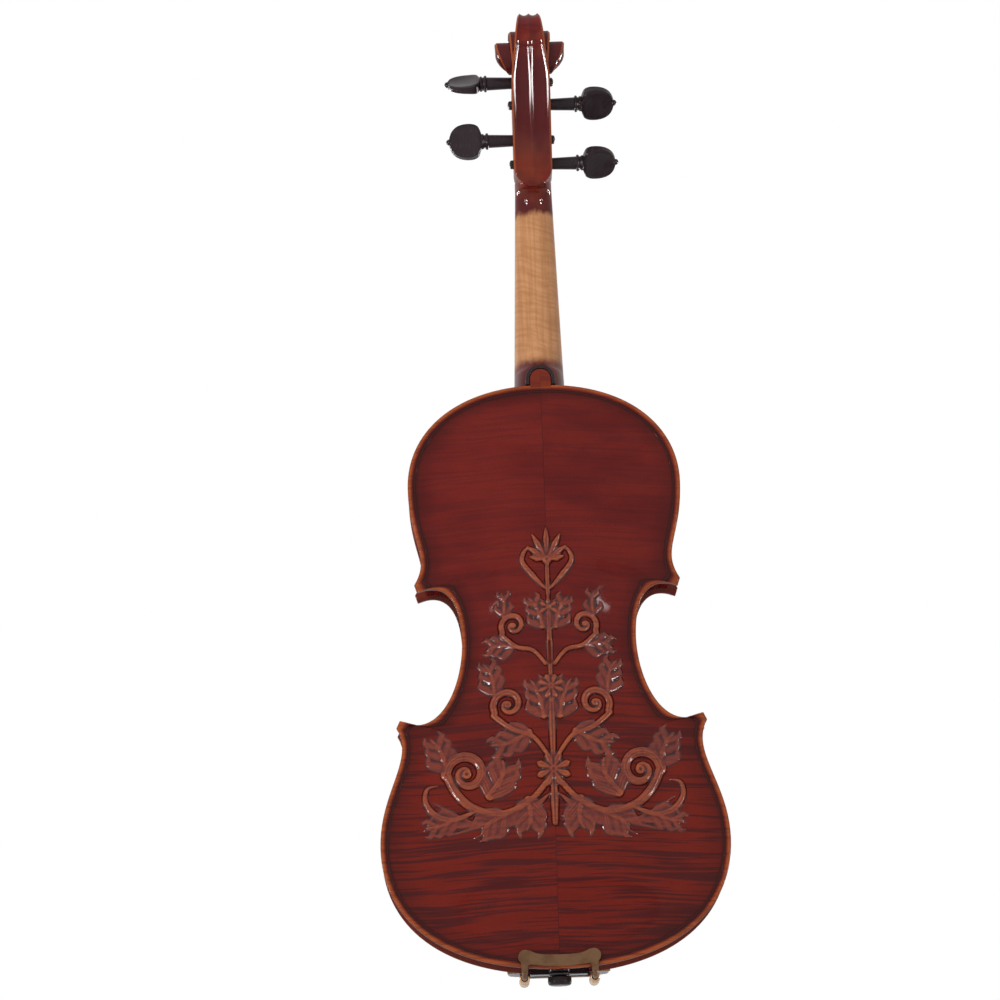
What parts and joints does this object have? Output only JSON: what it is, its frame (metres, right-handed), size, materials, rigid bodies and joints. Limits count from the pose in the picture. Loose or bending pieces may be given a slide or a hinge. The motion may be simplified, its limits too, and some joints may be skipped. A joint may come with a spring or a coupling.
{
  "type": "violin",
  "caption": "Violin hung by its scroll: arched plates on bent ribs, carved volute head, turning tapered pegs, tailpiece with fine tuner, clamped chinrest.",
  "frame": {"origin": "hanger point under the scroll's eyes, in the middle of the pegbox", "axes": "+Z from tail to scroll, +Y out of the belly towards the strings, so the back faces -Y, +X to the bass side"},
  "size_m": [0.2096, 0.1028, 0.6001],
  "materials": {
    "varnished_maple": "glossy red-brown varnish over flamed maple and spruce",
    "inner_wood": "bare planed spruce and willow",
    "inlay": "dark inlaid strip under varnish",
    "black_wood": "polished black ebony",
    "bridge_wood": "bare maple, fine planed",
    "cork": "soft cork sheet",
    "gilt_metal": "satin gilt with bright worn edges",
    "string_steel": "steel and wound metal",
    "tail_cord": "smooth black cord"
  },
  "bodies": {
    "violin": {"upper_rib_bass": "varnished_maple", "waist_rib_bass": "varnished_maple", "upper_back_lining_bass": "inner_wood", "upper_belly_lining_bass": "inner_wood", "waist_back_lining_bass": "inner_wood", "waist_belly_lining_bass": "inner_wood", "lower_back_lining_bass": "inner_wood", "lower_belly_lining_bass": "inner_wood", "upper_corner_block_bass": "inner_wood", "lower_corner_block_bass": "inner_wood", "upper_rib_treble": "varnished_maple", "waist_rib_treble": "varnished_maple", "upper_back_lining_treble": "inner_wood", "upper_belly_lining_treble": "inner_wood", "waist_back_lining_treble": "inner_wood", "waist_belly_lining_treble": "inner_wood", "lower_back_lining_treble": "inner_wood", "lower_belly_lining_treble": "inner_wood", "upper_corner_block_treble": "inner_wood", "lower_corner_block_treble": "inner_wood", "lower_rib": "varnished_maple", "end_block": "inner_wood", "neck_block": "inner_wood", "back_plate": "varnished_maple", "back_purfling": "inlay", "button_crown": "black_wood", "belly_plate": "varnished_maple", "belly_purfling_bass": "inlay", "belly_purfling_treble": "inlay", "bass_bar": "inner_wood", "sound_post": "inner_wood", "neck_and_scroll": "varnished_maple", "fingerboard": "black_wood", "tuner_bracket": "string_steel", "string_g": "string_steel", "string_d": "string_steel", "string_a": "string_steel", "string_e": "string_steel", "nut": "black_wood", "bridge": "bridge_wood", "tail_gut": "tail_cord", "tailpiece": "black_wood", "saddle": "black_wood", "end_button": "black_wood", "chinrest": "black_wood", "chinrest_cork": "cork", "clamp_bracket": "gilt_metal"},
    "peg_g": {"peg_g": "black_wood", "winding_g": "string_steel"},
    "peg_d": {"peg_d": "black_wood", "winding_d": "string_steel"},
    "peg_a": {"peg_a": "black_wood", "winding_a": "string_steel"},
    "peg_e": {"peg_e": "black_wood", "winding_e": "string_steel"},
    "barrel_bass": {"clamp_barrel_bass": "gilt_metal"},
    "barrel_treble": {"clamp_barrel_treble": "gilt_metal"},
    "back_clamp": {"clamp_plate": "gilt_metal"},
    "screw": {"tuner_screw": "string_steel"},
    "lever": {"tuner_lever": "string_steel"}
  },
  "joints": [
    {"name": "peg_g_turn", "type": "hinge", "parent": "violin", "child": "peg_g", "pos_m": [0, 0.01956, -0.0445], "axis": [1, 0, 0], "continuous": true},
    {"name": "peg_d_turn", "type": "hinge", "parent": "violin", "child": "peg_d", "pos_m": [0, 0.01568, -0.0075], "axis": [1, 0, 0], "continuous": true},
    {"name": "peg_a_turn", "type": "hinge", "parent": "violin", "child": "peg_a", "pos_m": [0, 0.01421, 0.0065], "axis": [1, 0, 0], "continuous": true},
    {"name": "peg_e_turn", "type": "hinge", "parent": "violin", "child": "peg_e", "pos_m": [0, 0.01799, -0.0295], "axis": [1, 0, 0], "continuous": true},
    {"name": "barrel_bass_turn", "type": "hinge", "parent": "violin", "child": "barrel_bass", "pos_m": [0.021, 0.0185, -0.5499], "axis": [0, 1, 0], "range_deg": [0, 1440]},
    {"name": "barrel_treble_turn", "type": "hinge", "parent": "violin", "child": "barrel_treble", "pos_m": [-0.021, 0.0185, -0.5499], "axis": [0, 1, 0], "range_deg": [0, 1440]},
    {"name": "back_clamp_slide", "type": "slide", "parent": "violin", "child": "back_clamp", "axis": [0, -1, 0], "range_m": [0, 0.0056]},
    {"name": "tuner_screw_slide", "type": "slide", "parent": "violin", "child": "screw", "axis": [0, -0.9914, 0.1305], "range_m": [0, 0.0025]},
    {"name": "tuner_lever_turn", "type": "hinge", "parent": "violin", "child": "lever", "pos_m": [-0.0134, 0.0647, -0.43254], "axis": [-1, 0, 0], "range_deg": [0, 9]}
  ],
  "couplings": [
    {"joint": "barrel_bass_turn", "follows": "back_clamp_slide", "rad_per_m": 4487.9},
    {"joint": "barrel_treble_turn", "follows": "back_clamp_slide", "rad_per_m": 4487.9},
    {"joint": "tuner_lever_turn", "follows": "tuner_screw_slide", "rad_per_m": 61.728}
  ]
}
